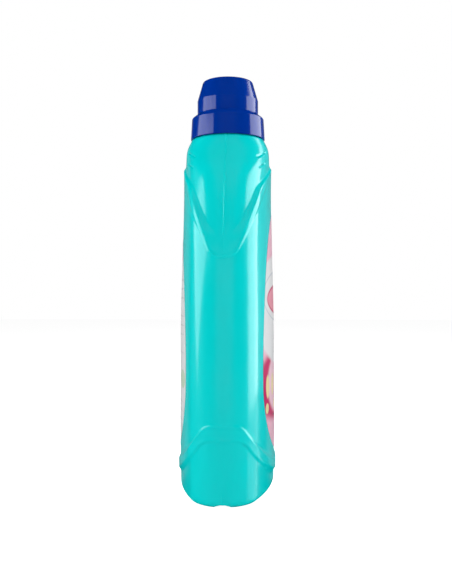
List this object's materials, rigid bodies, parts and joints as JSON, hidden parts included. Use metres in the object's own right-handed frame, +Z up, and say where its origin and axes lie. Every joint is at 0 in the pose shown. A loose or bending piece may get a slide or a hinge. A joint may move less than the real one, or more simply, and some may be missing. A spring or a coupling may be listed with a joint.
{
  "type": "laundry detergent bottle",
  "caption": "Tall flat-oval laundry detergent bottle with yoked shoulders, an arched ribbon near the base, egg-shaped labels and a screw-on dosing cap over a pouring spout.",
  "frame": {"origin": "middle of the base, on the surface that the bottle stands on", "axes": "+Z up through the cap, X along the bottle's width, front label towards -Y"},
  "size_m": [0.154, 0.0682, 0.28],
  "materials": {
    "bottle_shell": "teal blow-moulded polyethylene with a soft satin gloss",
    "spout_plastic": "natural white moulded polypropylene",
    "seal_foam": "soft off-white foamed sealing ring",
    "cap_plastic": "royal blue moulded polypropylene, glossy",
    "front_film": "glossy printed film in pink, white and magenta",
    "back_film": "glossy white printed film"
  },
  "bodies": {
    "bottle_body": {"bottle": "bottle_shell", "pouring_spout": "spout_plastic", "front_label": "front_film", "back_label": "back_film"},
    "seal_body": {"sealing_ring": "seal_foam"},
    "cap_body": {"dosing_cap": "cap_plastic"}
  },
  "joints": [
    {"name": "cap_lift", "type": "slide", "parent": "bottle_body", "child": "seal_body", "axis": [0, 0, 1], "range_m": [0, 0.04]},
    {"name": "cap_turn", "type": "hinge", "parent": "seal_body", "child": "cap_body", "pos_m": [0, 0, 0.252], "axis": [0, 0, 1], "range_deg": [0, 1440]}
  ],
  "couplings": [
    {"joint": "cap_lift", "follows": "cap_turn", "m_per_rad": 0.0015915}
  ]
}
